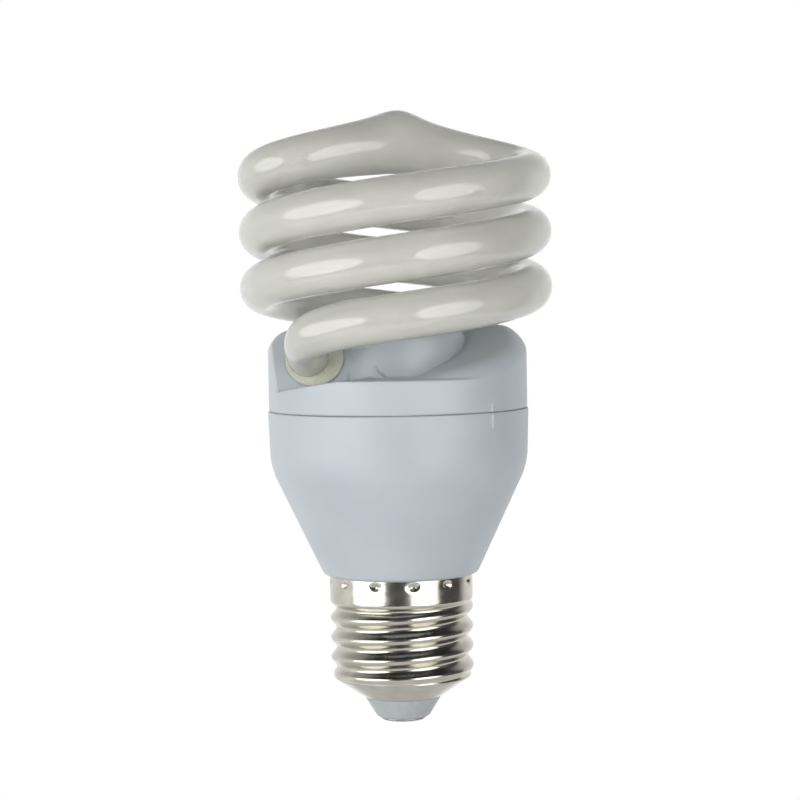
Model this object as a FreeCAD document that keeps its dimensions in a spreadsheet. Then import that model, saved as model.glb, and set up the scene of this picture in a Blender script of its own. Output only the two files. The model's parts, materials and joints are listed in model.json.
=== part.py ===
# Spiral energy saving lamp: a double spiral of glass tube on a two-part ballast case with a screw cap.
# Millimetres and degrees. The origin is the middle of the centre contact's lower face, +Z runs up the
# lamp's axis, and the front of the lamp, where one tube end enters the case, faces -Y.

import FreeCAD, Part
import Sketcher
import math
import os
import re

doc = FreeCAD.newDocument("SpiralLamp")
sheet = doc.addObject("Spreadsheet::Sheet", "Sizes")

sizes = {
    # Centre contact and insulator, from the tip upwards
    "contact_height": 0.45,
    "contact_radius": 4.1,
    "contact_round": 0.4,
    "rivet_radius": 0.9,
    "rivet_clearance": 0.1,
    "rivet_head": 0.6,
    "insulator_height": 3.85,
    "insulator_tip_radius": 4.75,
    "insulator_radius": 7.1,
    "insulator_tip_round": 0.7,
    "insulator_plug_depth": 2.2,
    "insulator_plug_gap": 0.25,
    # Screw shell: cone, thread and skirt
    "shell_wall": 0.3,
    "cone_height": 3.7,
    "thread_length": 14.7,
    "thread_radius": 13.15,
    "thread_depth": 1.05,
    "thread_pitch": 3.63,
    "thread_crest_height": 1.96,
    "skirt_length": 4.3,
    "dent_count": 12,
    "dent_depth": 0.4,
    "dent_height": 0.6,
    "dent_drop": 1.75,
    "dent_angle": 9.2,
    # Ballast housing
    "taper_height": 20,
    "wall_height": 10.3,
    "rim_overhang": 0.95,
    "mouth_radius": 23.9,
    "shoulder_draft": 0.35,
    "housing_wall": 1.5,
    "taper_wall": 1.66,
    "shoulder_round": 10,
    "rim_round": 1.1,
    "seam_round": 0.3,
    "ledge_width": 1.2,
    "ledge_rise": 1,
    "ledge_depth": 2.5,
    "neck_wall": 1.2,
    "neck_clearance": 0.1,
    "neck_groove": 0.5,
    "neck_end_gap": 0.6,
    # Alignment ribs across the seam
    "rib_width": 0.45,
    "rib_height": 1.9,
    "rib_proud": 0.25,
    "rib_angle": -46,
    # Tube holder
    "seam_step": 0.2,
    "holder_height": 6.2,
    "holder_wall": 1.3,
    "plug_depth": 3.3,
    "plug_clearance": 0.1,
    "hub_inset": 11.5,
    "hub_height": 8.2,
    "hub_round": 1.5,
    "dome_rise": 2,
    "barrel_reach": 6.6,
    "barrel_corner": 4,
    "barrel_inset": 6.4,
    "barrel_rise": 3.25,
    "barrel_lead": 33,
    "barrel_start": -84,
    "barrel_sweep": 130,
    "ramp_end": -116,
    "ramp_overrun": 22,
    "ramp_depth": 2.9,
    "gusset_angle": -107,
    "gusset_skew": 50,
    "gusset_size": 3.2,
    "gusset_width": 0.9,
    # Spiral tube
    "tube_radius": 4.2,
    "coil_overhang": 0.5,
    "coil_lead": 20.3,
    "coil_rise": 16.1,
    "coil_turns": 1,
    "leave_angle": -103,
    "entry_angle": -151.8,
    "entry_inset": 0.4,
    "entry_rise": 3.6,
    "entry_heading": 85,
    "entry_straight": 1.5,
    "entry_inside": 1.2,
    "neck_radius": 3.7,
    "neck_aside": 1.05,
    "neck_lift": 0.25,
    "bend_pull_low": 11,
    "bend_pull_high": 10.4,
    "arm_pull_low": 16,
    "arm_pull_high": 11,
    "crown_heading": 42,
    "crown_slope": 0.12,
    "crown_rise": 5.85,
    "crown_swell": 0.95,
    "crown_peak": 1.1,
    "crown_width": 14,
    "crown_bend": 3,
    # Cement seals at the tube ends
    "seal_radius": 5.15,
    "seal_length": 1.8,
    "seal_proud": 0.6,
    "seal_round": 0.25,
    "seal_clearance": 0.05,
    # Circuit board and its supports
    "board_thickness": 1.6,
    "board_clearance": 0.3,
    "post_width": 1,
    "post_height": 4.4,
    # Filter capacitor
    "can_radius": 5,
    "can_length": 19.5,
    "can_offset": 4.5,
    "can_groove": 0.35,
    "can_groove_height": 2.2,
    "can_round": 0.6,
    # Choke
    "core_width": 16,
    "core_depth": 5,
    "core_height": 7,
    "core_leg": 4,
    "core_slot": 4,
    "core_slot_depth": 5,
    "choke_offset": -8,
    "bobbin_wall": 0.6,
    "bobbin_clearance": 0.15,
    "winding_thickness": 2.2,
    # Drive ring
    "ring_radius": 4.4,
    "ring_bore": 2.3,
    "ring_height": 4,
    "ring_x": 3.5,
    "ring_y": -12.2,
    "ring_wire": 0.5,
    "ring_winding_angle": 48,
    # Switching transistors
    "transistor_width": 7.6,
    "transistor_thickness": 2.7,
    "transistor_height": 9.5,
    "transistor_hole": 1.55,
    "transistor_x": 12.2,
    "transistor_pitch": 9,
    "leg_length": 1.8,
    "leg_width": 0.7,
    "leg_thickness": 0.5,
    "leg_pitch": 2.3,
    # Film capacitors
    "film_width": 8.4,
    "film_depth": 4.2,
    "film_height": 8,
    "film_round": 0.8,
    "resonant_x": 4.2,
    "resonant_y": 10,
    "blocking_x": -6.2,
    "blocking_y": 11.4,
    # Line coil
    "drum_radius": 3.5,
    "drum_waist": 1.7,
    "drum_height": 7,
    "drum_flange": 0.9,
    "drum_x": -6.5,
    "drum_y": -12.7,
    "drum_wire_gap": 0.3,
    # Small axial parts
    "axial_circle": 17.2,
    "diode_radius": 1.35,
    "diode_length": 5,
    "resistor_radius": 1.1,
    "resistor_length": 5.6,
    "diac_radius": 0.95,
    "diac_length": 3.6,
    "diode_pair_angle": 14,
    "diode_angle": 85,
    "diode_angle_spread": 15,
    "resistor_angle": 169,
    "diac_angle": -48,
    "axial_lead_radius": 0.35,
    "axial_lead_reach": 0.9,
    # Fuse resistor and wires
    "fuse_radius": 1.9,
    "fuse_length": 9,
    "fuse_x": -1.5,
    "fuse_level": 12,
    "wire_radius": 0.45,
    "tube_wire_radius": 0.3,
    "tube_wire_spread": 1.3,
    "tube_wire_reach": 3.6,
    "neutral_x": -1,
    "neutral_y": 4.2,
    "neutral_gap": 0.02,
}
# How finely curves are drawn, and what counts as touching
thread_rows_per_turn = 8
points_per_dent = 5
points_round_tube = 16
straight_steps = 4
bend_steps = 10
coil_step_degrees = 5
arm_steps = 22
touch = 1e-4

for row, (alias, value) in enumerate(sizes.items(), start=1):
    sheet.set(f"A{row}", alias)
    sheet.set(f"B{row}", str(value))
    sheet.setAlias(f"B{row}", alias)
doc.recompute()

# Levels up the axis, each the one below plus a driving height
insulator_level = "contact_height"
cone_level = insulator_level + " + insulator_height"
thread_level = cone_level + " + cone_height"
skirt_level = thread_level + " + thread_length"
rim_level = skirt_level + " + skirt_length"
shoulder_level = rim_level + " + taper_height"
ledge_level = shoulder_level + " + ledge_rise"
board_top = ledge_level + " + board_thickness"
seam_level = shoulder_level + " + wall_height"
floor_level = seam_level + " + holder_height"

# Radii that follow the cap's thread and the case's mouth
rim_radius = "(thread_radius + rim_overhang)"
shoulder_radius = "(mouth_radius - shoulder_draft)"
holder_radius = "(mouth_radius - seam_step)"
hub_radius = f"({holder_radius} - hub_inset)"
barrel_offset = f"({holder_radius} - barrel_inset)"
entry_radius = f"({barrel_offset} - entry_inset)"
coil_radius = "(mouth_radius + coil_overhang)"


def formula(text):
    return re.sub(r"[a-z]+(?:_[a-z]+)+", r"Sizes.\g<0>", text)


def number(text):
    return float(sheet.evalExpression(formula(text)))


def bind(item, **properties):
    for name, text in properties.items():
        item.setExpression(name, formula(text))
    return item


def place(item, x="0", y="0", z="0"):
    for axis, text in zip("xyz", (x, y, z)):
        item.setExpression(f"Placement.Base.{axis}", formula(text))
    return item


def about_axis(degrees, height=0):
    # a turn about the lamp's axis, with a lift along it
    turn = FreeCAD.Rotation(FreeCAD.Vector(0, 0, 1), degrees)
    return FreeCAD.Placement(FreeCAD.Vector(0, 0, height), turn)


def solid_box(name, width, depth, height, x="0", y="0", z="0"):
    # a block centred on x and y that stands on z
    box = bind(doc.addObject("Part::Box", name), Length=width, Width=depth, Height=height)
    return place(box, f"{x} - ({width}) / 2", f"{y} - ({depth}) / 2", z)


def rod(name, radius, height, x="0", y="0", z="0"):
    return place(bind(doc.addObject("Part::Cylinder", name), Radius=radius, Height=height), x, y, z)


def cut(name, base, tool):
    item = doc.addObject("Part::Cut", name)
    item.Base = base
    item.Tool = tool
    return item


def fuse(name, items):
    item = doc.addObject("Part::MultiFuse", name)
    item.Shapes = items
    return item


def overlap(name, items):
    item = doc.addObject("Part::MultiCommon", name)
    item.Shapes = items
    return item


def group(name, items):
    item = doc.addObject("Part::Compound", name)
    item.Links = items
    return item


def pin_corner(sketch, line, radius, height):
    for kind, axis, text in (("DistanceX", -2, radius), ("DistanceY", -1, height)):
        if text == "0":
            sketch.addConstraint(Sketcher.Constraint("PointOnObject", line, 1, axis))
            continue
        index = sketch.addConstraint(Sketcher.Constraint(kind, -1, 1, line, 1, number(text)))
        sketch.setExpression(f"Constraints[{index}]", formula(text))


def turned(name, corners, rounds=()):
    # spin a closed outline of (radius, height) corners, then round the named corners
    body = doc.addObject("PartDesign::Body", name)
    sketch = body.newObject("Sketcher::SketchObject", name + "_outline")
    plane = next(item for item in body.Origin.OriginFeatures if item.Role == "XZ_Plane")
    sketch.AttachmentSupport = (plane, "")
    sketch.MapMode = "FlatFace"
    points = [FreeCAD.Vector(number(radius), number(height), 0) for radius, height in corners]
    for start, end in zip(points, points[1:] + points[:1]):
        sketch.addGeometry(Part.LineSegment(start, end))
    for line in range(len(points)):
        sketch.addConstraint(Sketcher.Constraint("Coincident", line, 2, (line + 1) % len(points), 1))
    for line, (radius, height) in enumerate(corners):
        pin_corner(sketch, line, radius, height)
    feature = body.newObject("PartDesign::Revolution", name + "_turned")
    feature.Profile = sketch
    feature.ReferenceAxis = (sketch, ["V_Axis"])
    feature.Angle = 360
    doc.recompute()
    for step, (radius, height, size) in enumerate(rounds):
        edges = circle_edges(body.Shape, number(radius), number(height))
        fillet = body.newObject("PartDesign::Fillet", f"{name}_round_{step}")
        fillet.Base = (feature, edges)
        bind(fillet, Radius=size)
        feature = fillet
        doc.recompute()
    return body


def circle_edges(shape, radius, height):
    found = []
    for index, edge in enumerate(shape.Edges, start=1):
        if not isinstance(edge.Curve, Part.Circle):
            continue
        if abs(edge.Curve.Radius - radius) < touch and abs(edge.Curve.Center.z - height) < touch:
            found.append(f"Edge{index}")
    return found


def ring_factor(count):
    # how far a cubic ring's control points stand outside the ring itself
    return 3 / (2 + math.cos(2 * math.pi / count))


def skin(rings):
    # a cubic surface along a row of closed rings of control points
    along, around = len(rings), len(rings[0])
    surface = Part.BSplineSurface()
    surface.buildFromPolesMultsKnots(
        rings, [4] + [1] * (along - 4) + [4], [1] * (around + 1),
        list(range(along - 2)), list(range(around + 1)), False, True, 3, 3)
    return surface


def capped_solid(rings):
    # the solid inside a row of rings, with flat ends
    surface = skin(rings)
    first, last = surface.bounds()[:2]
    faces = [surface.toShape()]
    for end in (first, last):
        faces.append(Part.Face(Part.Wire(surface.uIso(end).toShape())))
    shell = Part.Shell(faces)
    shell.sewShape()
    solid = Part.Solid(shell)
    if solid.Volume < 0:
        solid.reverse()
    return solid


def feature(name, shape):
    item = doc.addObject("Part::Feature", name)
    item.Shape = shape
    return item


def bent_wire(name, points, radius):
    # a round wire along straight runs joined by tangent arcs, each as large as its two runs allow
    bend_share = 0.45
    edges = []
    start = points[0]
    for before, corner, after in zip(points, points[1:], points[2:]):
        inward = (before - corner).normalize()
        outward = (after - corner).normalize()
        half_turn = (math.pi - inward.getAngle(outward)) / 2
        reach = bend_share * min((before - corner).Length, (after - corner).Length)
        bend = reach / math.tan(half_turn)
        middle = (inward + outward).normalize()
        centre = corner + middle * (bend / math.cos(half_turn))
        first, last = corner + inward * reach, corner + outward * reach
        edges.append(Part.LineSegment(start, first).toShape())
        edges.append(Part.Arc(first, centre - middle * bend, last).toShape())
        start = last
    edges.append(Part.LineSegment(start, points[-1]).toShape())
    path = Part.Wire(edges)
    ring = Part.Wire(Part.Circle(points[0], points[1] - points[0], radius).toShape())
    return feature(name, path.makePipeShell([ring], True, False))


def entry_frame():
    # a tube end's own frame: at the seal, with Z pointing out of the case along the tube
    angle, heading = math.radians(number("entry_angle")), math.radians(number("entry_heading"))
    dive = math.atan(number("barrel_lead") / (2 * math.pi * number(barrel_offset)))
    inward = FreeCAD.Vector(math.cos(dive) * math.cos(heading), math.cos(dive) * math.sin(heading),
                            -math.sin(dive))
    radius = number(entry_radius)
    place_at = FreeCAD.Vector(radius * math.cos(angle), radius * math.sin(angle),
                              number(f"{floor_level} + entry_rise"))
    return FreeCAD.Placement(place_at, FreeCAD.Rotation(FreeCAD.Vector(0, 0, 1), inward * -1))


front_entry = entry_frame()
neck_place = FreeCAD.Vector(-number("neck_aside"), number("neck_lift"), 0)
front_neck = front_entry.multiply(FreeCAD.Placement(neck_place, FreeCAD.Rotation()))


# Cap: centre contact, insulator and screw shell

def centre_contact():
    rivet_top = f"{cone_level} + insulator_plug_depth + rivet_head"
    return turned("centre_contact", [
        ("0", "0"), ("contact_radius", "0"), ("contact_radius", insulator_level),
        ("rivet_radius", insulator_level), ("rivet_radius", rivet_top), ("0", rivet_top),
    ], [("contact_radius", "0", "contact_round")])


def cap_insulator():
    bore = "rivet_radius + rivet_clearance"
    plug = "insulator_radius - shell_wall * 2 - insulator_plug_gap"
    plug_top = f"{cone_level} + insulator_plug_depth"
    return turned("cap_insulator", [
        (bore, insulator_level), ("insulator_tip_radius", insulator_level),
        ("insulator_radius", cone_level), (plug, cone_level), (plug, plug_top), (bore, plug_top),
    ], [("insulator_tip_radius", insulator_level, "insulator_tip_round")])


def shell_profile():
    # (height, radius, share of thread) down the shell from the skirt's top edge to the cone's lower edge
    crest, mean = number("thread_radius"), number("thread_radius - thread_depth / 2")
    rim, skirt = number(rim_level), number(skirt_level)
    thread, cone = number(thread_level), number(cone_level)
    step = number("thread_pitch") / thread_rows_per_turn
    fade = number("thread_pitch") / 2
    rows = []
    count = math.ceil((rim - skirt) / step)
    rows += [(rim - (rim - skirt) * index / count, crest, 0) for index in range(count)]
    count = math.ceil((skirt - thread) / step)
    for index in range(count + 1):
        height = skirt - (skirt - thread) * index / count
        share = min(1, (skirt - height) / fade, (height - thread) / fade)
        share = share * share * (3 - 2 * share)
        top = max(0, 1 - (skirt - height) / fade)
        rows.append((height, mean + (crest - mean) * top * top * (3 - 2 * top), share))
    low = number("insulator_radius")
    count = math.ceil((thread - cone) / step)
    for index in range(1, count + 1):
        share = index / count
        rows.append((thread + (cone - thread) * share, mean + (low - mean) * share, 0))
    return rows


def shell_rings(wall):
    # the cone slopes, so its wall measured level is thicker than the sheet
    cone_slant = 1.6
    around = int(number("dent_count")) * points_per_dent
    grow = ring_factor(around)
    swing = number("thread_depth") / 2
    pitch, phase = number("thread_pitch"), number(f"{thread_level} + thread_crest_height")
    dent_level, dent_angle = number(f"{rim_level} - dent_drop"), math.radians(number("dent_angle"))
    cone_top = number(thread_level)
    rings = []
    for height, radius, share in shell_profile():
        thin = wall * cone_slant if height < cone_top else wall
        dent = number("dent_depth") * max(0, 1 - abs(height - dent_level) / number("dent_height"))
        ring = []
        for index in range(around):
            angle = dent_angle + 2 * math.pi * index / around
            wave = share * swing * math.cos(2 * math.pi * (height - phase) / pitch - angle)
            reach = radius - thin + wave - (dent if index % points_per_dent == 0 else 0)
            reach *= grow
            ring.append(FreeCAD.Vector(reach * math.cos(angle), reach * math.sin(angle), height))
        rings.append(ring)
    return rings


def screw_shell():
    outside = feature("shell_outside", capped_solid(shell_rings(0)))
    inside = feature("shell_inside", capped_solid(shell_rings(number("shell_wall"))))
    return cut("screw_shell", outside, inside)


# Case: ballast housing and tube holder

def seam_rib(name, radius, low):
    rib = bind(doc.addObject("Part::Box", name), Length="rib_proud * 2", Width="rib_width",
               Height="rib_height")
    corner = FreeCAD.Vector(number(f"{radius} - rib_proud"), -number("rib_width / 2"), number(low))
    rib.Placement = about_axis(number("rib_angle")).multiply(FreeCAD.Placement(corner, FreeCAD.Rotation()))
    return rib


def ballast_housing():
    bore = "mouth_radius - housing_wall"
    ledge = f"{bore} - ledge_width"
    neck = "thread_radius - shell_wall - neck_clearance"
    neck_bore = f"{neck} - neck_wall"
    neck_end = f"{skirt_level} + neck_end_gap"
    groove = f"{neck} - neck_groove"
    dent = f"{rim_level} - dent_drop"
    body = turned("housing_body", [
        (neck_bore, neck_end), (neck, neck_end), (neck, f"{dent} - neck_groove * 2"),
        (groove, f"{dent} - neck_groove * 2"), (groove, f"{dent} + neck_groove * 2"),
        (neck, f"{dent} + neck_groove * 2"), (neck, rim_level), (rim_radius, rim_level),
        (shoulder_radius, shoulder_level), ("mouth_radius", seam_level), (bore, seam_level),
        (bore, ledge_level), (ledge, ledge_level), (ledge, f"{ledge_level} - ledge_depth"),
        (f"{rim_radius} - taper_wall", rim_level), (neck_bore, f"{rim_level} - neck_wall"),
    ], [
        (rim_radius, rim_level, "rim_round"),
        (shoulder_radius, shoulder_level, "shoulder_round"),
        ("mouth_radius", seam_level, "seam_round"),
    ])
    rib = seam_rib("housing_rib", "mouth_radius", f"{seam_level} - rib_height - seam_round * 2")
    return fuse("ballast_housing", [body, rib])


def stall_sketch(name, inset):
    # a stall with round upper corners about the barrel's line, drawn on the plane through the lamp's axis
    sketch = doc.addObject("Sketcher::SketchObject", name)
    half, bend = f"(barrel_reach - {inset})", f"(barrel_corner - {inset})"
    centre, reach, corner = number(barrel_offset), number(half), number(bend)
    left, right, low = centre - reach, centre + reach, -number("barrel_reach * 2")
    across = FreeCAD.Vector(0, 0, 1)
    points = [FreeCAD.Vector(right, reach - corner, 0), FreeCAD.Vector(right - corner, reach, 0),
              FreeCAD.Vector(left + corner, reach, 0), FreeCAD.Vector(left, reach - corner, 0),
              FreeCAD.Vector(left, low, 0), FreeCAD.Vector(right, low, 0)]
    turns = {0: (right - corner, 0), 2: (left + corner, math.pi / 2)}
    for line, (start, end) in enumerate(zip(points, points[1:] + points[:1])):
        if line in turns:
            middle, angle = turns[line]
            circle = Part.Circle(FreeCAD.Vector(middle, reach - corner, 0), across, corner)
            sketch.addGeometry(Part.ArcOfCircle(circle, angle, angle + math.pi / 2))
        else:
            sketch.addGeometry(Part.LineSegment(start, end))
    for arc in turns:
        for first, second in (((arc - 1) % 6, arc), (arc, arc + 1)):
            sketch.addConstraint(Sketcher.Constraint("Tangent", first, 2, second, 1))
    for line in (3, 4):
        sketch.addConstraint(Sketcher.Constraint("Coincident", line, 2, line + 1, 1))
    for line, kind in ((1, "Horizontal"), (3, "Vertical"), (4, "Horizontal"), (5, "Vertical")):
        sketch.addConstraint(Sketcher.Constraint(kind, line))
    for constraint, text in (
            (Sketcher.Constraint("Radius", 0, corner), bend),
            (Sketcher.Constraint("Radius", 2, corner), bend),
            (Sketcher.Constraint("DistanceX", -1, 1, 4, 1, left), f"{barrel_offset} - {half}"),
            (Sketcher.Constraint("DistanceX", -1, 1, 4, 2, right), f"{barrel_offset} + {half}"),
            (Sketcher.Constraint("DistanceY", 4, 1, -1, 1, -low), "barrel_reach * 2"),
            (Sketcher.Constraint("DistanceY", -1, 1, 1, 1, reach), half)):
        index = sketch.addConstraint(constraint)
        sketch.setExpression(f"Constraints[{index}]", formula(text))
    return sketch


def ramp_sketch(name):
    # the section of the sunk ramp in front of a tube mouth
    sketch = doc.addObject("Sketcher::SketchObject", name)
    inner, outer = number(f"{hub_radius} - holder_wall"), number(f"{holder_radius} + holder_wall")
    height = number("barrel_reach * 2")
    corners = [FreeCAD.Vector(inner, 0, 0), FreeCAD.Vector(outer, 0, 0),
               FreeCAD.Vector(outer, height, 0), FreeCAD.Vector(inner, height, 0)]
    for start, end in zip(corners, corners[1:] + corners[:1]):
        sketch.addGeometry(Part.LineSegment(start, end))
    for line in range(4):
        sketch.addConstraint(Sketcher.Constraint("Coincident", line, 2, (line + 1) % 4, 1))
    texts = [(f"{hub_radius} - holder_wall", "0"), (f"{holder_radius} + holder_wall", "0"),
             (f"{holder_radius} + holder_wall", "barrel_reach * 2"),
             (f"{hub_radius} - holder_wall", "barrel_reach * 2")]
    for line, (radius, level) in enumerate(texts):
        pin_corner(sketch, line, radius, level)
    return sketch


def helical(name, sketch, frame, radius, lead, sweep):
    # carry a section up a helix about the lamp's axis, from the frame's X side
    spine = bind(doc.addObject("Part::Helix", name + "_helix"), Radius=radius, Pitch=lead,
                 Height=f"({lead}) * ({sweep}) / 360")
    spine.Placement = frame
    upright = FreeCAD.Rotation(FreeCAD.Vector(1, 0, 0), 90)
    sketch.Placement = frame.multiply(FreeCAD.Placement(FreeCAD.Vector(), upright))
    item = doc.addObject("Part::Sweep", name)
    item.Sections = [sketch]
    item.Spine = (spine, ["Edge1"])
    item.Solid = True
    item.Frenet = True
    return item


def barrel(name, turn, inset):
    # one tube stall, cut square to the tube at its mouth; the inset gives the hollow inside it
    late = f"({inset}) / {barrel_offset} * 180 / pi"
    before_mouth = f"entry_angle + 180 - barrel_start - {late}"
    level = f"{floor_level} + barrel_rise - barrel_lead * ({before_mouth}) / 360"
    frame = about_axis(turn + number(f"barrel_start + {late}"), number(level))
    sketch = stall_sketch(name + "_section", inset)
    sweep = helical(name + "_sweep", sketch, frame, barrel_offset, "barrel_lead", "barrel_sweep")
    reach = number(f"{holder_radius} * 2")
    front = bind(doc.addObject("Part::Box", name + "_front"), Length=f"{holder_radius} * 4",
                 Width=f"{holder_radius} * 4", Height=f"{holder_radius} * 2")
    corner = FreeCAD.Placement(FreeCAD.Vector(-reach, -reach, -number(inset)), FreeCAD.Rotation())
    front.Placement = about_axis(turn + 180).multiply(front_entry).multiply(corner)
    trim = rod(name + "_trim", f"{holder_radius} - {inset}", holder_radius, z=seam_level)
    return overlap(name, [cut(name + "_cut", sweep, front), trim])


def sunk_ramp(name, turn):
    start = "entry_angle - ramp_overrun"
    level = f"{floor_level} - coil_lead * (ramp_end - ({start})) / 360"
    frame = about_axis(turn + number(start), number(level))
    return helical(name, ramp_sketch(name + "_section"), frame, coil_radius, "coil_lead",
                   f"ramp_end - ({start})")


def seat(name, turn):
    # the bore in a tube mouth that the cement seal fills
    depth = "holder_wall + seal_clearance"
    item = bind(doc.addObject("Part::Cylinder", name), Radius="seal_radius + seal_clearance",
                Height=f"{depth} + seal_length")
    low = FreeCAD.Placement(FreeCAD.Vector(0, 0, -number(depth)), FreeCAD.Rotation())
    item.Placement = about_axis(turn).multiply(front_entry).multiply(low)
    return item


def gusset(name, turn):
    # a small slanting web with a hollow edge between the hub and the floor
    web = bind(doc.addObject("Part::Box", name + "_web"), Length="gusset_size + hub_round",
               Width="gusset_width", Height="gusset_size")
    hollow = bind(doc.addObject("Part::Cylinder", name + "_hollow"), Radius="gusset_size",
                  Height="gusset_width * 2")
    wall = FreeCAD.Vector(number(hub_radius), 0, 0)
    slant = FreeCAD.Rotation(FreeCAD.Vector(0, 0, 1), number("gusset_skew"))
    frame = about_axis(turn + number("gusset_angle"), number(floor_level))
    frame = frame.multiply(FreeCAD.Placement(wall, slant))
    corner = FreeCAD.Vector(-number("hub_round"), -number("gusset_width / 2"), 0)
    web.Placement = frame.multiply(FreeCAD.Placement(corner, FreeCAD.Rotation()))
    edge = FreeCAD.Vector(number("gusset_size"), number("gusset_width"), number("gusset_size"))
    across = FreeCAD.Rotation(FreeCAD.Vector(1, 0, 0), 90)
    hollow.Placement = frame.multiply(FreeCAD.Placement(edge, across))
    return cut(name, web, hollow)


def tube_holder():
    plug = "mouth_radius - housing_wall - plug_clearance"
    hub_top = f"{floor_level} + hub_height"
    hub = turned("holder_hub", [
        ("0", seam_level), (hub_radius, seam_level), (hub_radius, hub_top),
        ("0", f"{hub_top} + dome_rise"),
    ], [(hub_radius, hub_top, "hub_round")])
    slab = turned("holder_slab", [
        ("0", seam_level), (holder_radius, seam_level), (holder_radius, floor_level), ("0", floor_level),
    ], [(holder_radius, seam_level, "seam_round")])
    turns = (0, 180)
    ramps = fuse("holder_ramps", [sunk_ramp(f"ramp_{turn}", turn) for turn in turns])
    outside = [cut("holder_floor", slab, ramps), hub]
    outside += [barrel(f"barrel_{turn}", turn, "0") for turn in turns]
    outside += [gusset(f"gusset_{turn}", turn) for turn in turns]
    outside.append(seam_rib("holder_rib", holder_radius, f"{seam_level} + seam_round * 2"))
    ceiling = f"{floor_level} - ramp_depth - holder_wall"
    hollow = turned("hub_hollow", [
        ("0", seam_level), (f"{hub_radius} - holder_wall", seam_level),
        (f"{hub_radius} - holder_wall", f"{hub_top} - holder_wall"),
        ("0", f"{hub_top} + dome_rise - holder_wall"),
    ])
    room = rod("holder_room", f"{plug} - holder_wall", f"({ceiling}) - ({seam_level} - plug_depth)",
               z=f"{seam_level} - plug_depth")
    inside = [hollow, room]
    inside += [barrel(f"hollow_{turn}", turn, "holder_wall") for turn in turns]
    inside += [seat(f"seat_{turn}", turn) for turn in turns]
    ring = rod("holder_plug", plug, "plug_depth", z=f"{seam_level} - plug_depth")
    return cut("tube_holder", fuse("holder_outside", outside + [ring]), fuse("holder_inside", inside))


# Spiral tube and its seals

def cubic_points(handles, steps):
    # evenly stepped points along a cubic curve, with both its ends
    points = []
    for index in range(steps + 1):
        share = index / steps
        weights = ((1 - share) ** 3, 3 * share * (1 - share) ** 2, 3 * share ** 2 * (1 - share), share ** 3)
        point = FreeCAD.Vector()
        for handle, weight in zip(handles, weights):
            point += handle * weight
        points.append(point)
    return points


def strand_line():
    # the middle of one strand, from its end in the case to the top of the lamp; each point has its share
    # of the narrow neck and of the swollen crown, and how far the tube's upper side is drawn up
    radius, lead = number(coil_radius), number("coil_lead")
    base = number(f"{floor_level} + coil_rise")
    leave, top = math.radians(number("leave_angle")), 2 * math.pi * number("coil_turns")

    def on_coil(angle):
        return FreeCAD.Vector(radius * math.cos(angle), radius * math.sin(angle),
                              base + lead * angle / (2 * math.pi))

    def along_coil(angle):
        return FreeCAD.Vector(-math.sin(angle), math.cos(angle), lead / (2 * math.pi * radius)).normalize()

    # the straight end in its seal, then the bend that widens up to the coil
    outward = front_neck.Rotation.multVec(FreeCAD.Vector(0, 0, 1))
    low, high = front_neck.Base + outward * number("entry_straight"), on_coil(leave)
    straight = number("entry_inside + entry_straight")
    line = []
    for index in range(straight_steps):
        line.append((low - outward * (straight * (1 - index / straight_steps)), 1, 0, 0))
    bend = cubic_points((low, low + outward * number("bend_pull_low"),
                         high - along_coil(leave) * number("bend_pull_high"), high), bend_steps)
    for index, point in enumerate(bend):
        share = index / bend_steps
        line.append((point, 1 - share * share * (3 - 2 * share), 0, 0))
    count = round((top - leave) / math.radians(coil_step_degrees))
    line += [(on_coil(leave + (top - leave) * index / count), 0, 0, 0) for index in range(1, count)]

    # the arm from the coil's end to the crown
    start, heading = on_coil(top), top + math.radians(number("crown_heading"))
    crown = FreeCAD.Vector(0, 0, start.z + number("crown_rise"))
    down = FreeCAD.Vector(math.cos(heading), math.sin(heading), -number("crown_slope"))
    for point in cubic_points((start, start + along_coil(top) * number("arm_pull_low"),
                               crown + down * number("arm_pull_high"), crown), arm_steps):
        reach = math.hypot(point.x, point.y)
        swell = math.exp(-(reach / number("crown_width")) ** 2)
        # the underside bends smoothly under the crown, while the upper side keeps its ridge
        bow = number("crown_bend")
        drop = number("crown_slope") * (math.hypot(reach, bow) - reach - math.hypot(radius, bow) + radius)
        point.z -= drop
        line.append((point, 0, swell, number("crown_peak") * swell ** 2 + drop))
    return line


def spiral_tube():
    first = strand_line()
    line = list(first)
    for point, *shares in reversed(first[:-1]):
        line.append((FreeCAD.Vector(-point.x, -point.y, point.z), *shares))
    grow = ring_factor(points_round_tube)
    up = FreeCAD.Vector(0, 0, 1)
    rings = []
    for index, (point, neck, crown, peak) in enumerate(line):
        before, after = line[max(0, index - 1)][0], line[min(len(line) - 1, index + 1)][0]
        along = (after - before).normalize()
        side = along.cross(up).normalize()
        rise = side.cross(along)
        narrow = number("tube_radius - neck_radius") * neck
        radius = (number("tube_radius") - narrow + number("crown_swell") * crown) * grow
        ring = []
        for step in range(points_round_tube):
            angle = 2 * math.pi * step / points_round_tube
            lift = peak * ((1 + math.cos(angle)) / 2) ** 2
            round_point = rise * (radius * math.cos(angle)) + side * (radius * math.sin(angle))
            ring.append(point + round_point + up * lift)
        rings.append(ring)
    return feature("spiral_tube", capped_solid(rings))


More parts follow.
